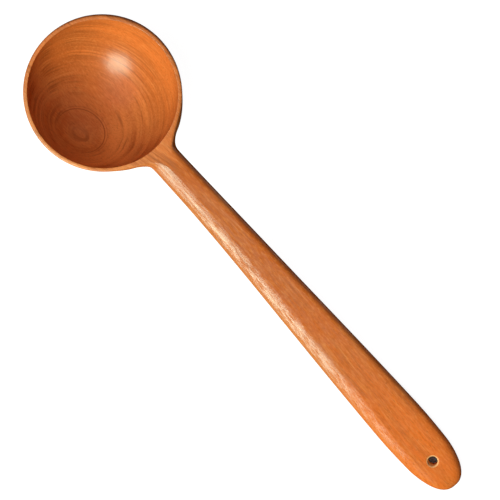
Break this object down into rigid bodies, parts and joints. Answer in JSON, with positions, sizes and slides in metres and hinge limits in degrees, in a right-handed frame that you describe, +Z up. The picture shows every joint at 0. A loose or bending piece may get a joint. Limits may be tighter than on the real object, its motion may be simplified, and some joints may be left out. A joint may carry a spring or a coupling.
{
  "type": "wooden ladle",
  "caption": "Wooden kitchen ladle carved in one piece: a thin half-ball bowl, a webbed neck and a long flat-topped handle that widens to a rounded end with a hanging hole.",
  "frame": {"origin": "on the surface the ladle lies on, under the middle of its outer box", "axes": "+X along the ladle from the bowl towards the handle's tip, +Z up, +Y to the left of the handle"},
  "size_m": [0.3274, 0.086, 0.0525],
  "materials": {
    "wood": "oiled reddish hardwood, satin"
  },
  "bodies": {
    "root": {"ladle": "wood"}
  },
  "joints": []
}
